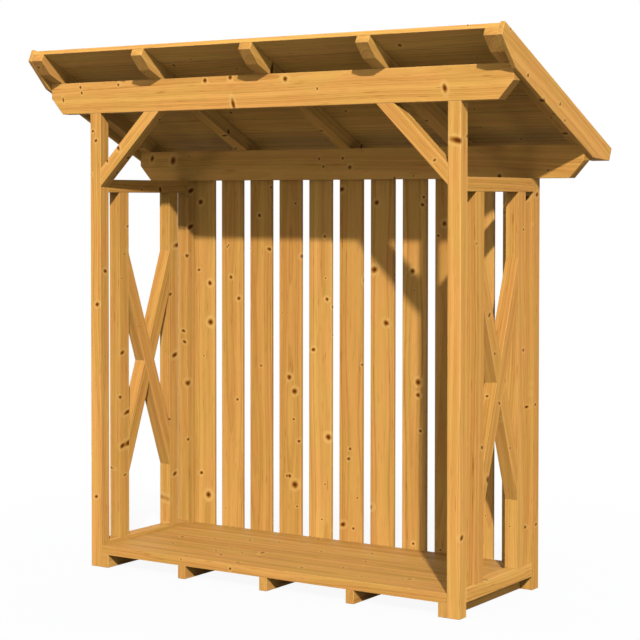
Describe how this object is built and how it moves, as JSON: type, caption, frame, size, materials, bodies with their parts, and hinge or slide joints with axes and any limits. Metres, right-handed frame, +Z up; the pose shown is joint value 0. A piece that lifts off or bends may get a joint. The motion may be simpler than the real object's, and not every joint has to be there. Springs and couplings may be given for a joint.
{
  "type": "log store",
  "caption": "Open timber log store with corner posts, crossed side walls, a slatted back, a raised board floor and a boarded roof falling to the back.",
  "frame": {"origin": "on the ground, at the centre of the rectangle of the four corner posts", "axes": "+X along the open front to the right, +Y from the front to the back, +Z up"},
  "size_m": [2.457, 1.0648, 2.4137],
  "materials": {
    "frame_timber": "satin honey-brown stain on softwood",
    "floor_timber": "satin honey-brown stain on softwood",
    "slat_timber": "satin honey-brown stain on softwood",
    "roof_board_timber": "satin honey-brown stain on softwood"
  },
  "bodies": {
    "root": {"back_beam": "frame_timber", "back_post_left": "frame_timber", "back_post_right": "frame_timber", "back_slats": "slat_timber", "barge_board_left": "frame_timber", "barge_board_right": "frame_timber", "bearer_1": "frame_timber", "bearer_2": "frame_timber", "bearer_3": "frame_timber", "bearer_4": "frame_timber", "bearer_5": "frame_timber", "floor_board_1": "floor_timber", "floor_board_2": "floor_timber", "floor_board_3": "floor_timber", "floor_board_4": "floor_timber", "floor_board_5": "floor_timber", "front_beam": "frame_timber", "front_brace_left": "frame_timber", "front_brace_right": "frame_timber", "front_post_left": "frame_timber", "front_post_right": "frame_timber", "left_wall_back_stud": "frame_timber", "left_wall_bottom_rail": "frame_timber", "left_wall_cross_falling": "frame_timber", "left_wall_cross_rising": "frame_timber", "left_wall_front_stud": "frame_timber", "left_wall_top_rail": "frame_timber", "rafter_1": "frame_timber", "rafter_2": "frame_timber", "rafter_3": "frame_timber", "rafter_4": "frame_timber", "rafter_5": "frame_timber", "right_wall_back_stud": "frame_timber", "right_wall_bottom_rail": "frame_timber", "right_wall_cross_falling": "frame_timber", "right_wall_cross_rising": "frame_timber", "right_wall_front_stud": "frame_timber", "right_wall_top_rail": "frame_timber", "roof_boards": "roof_board_timber"}
  },
  "joints": []
}
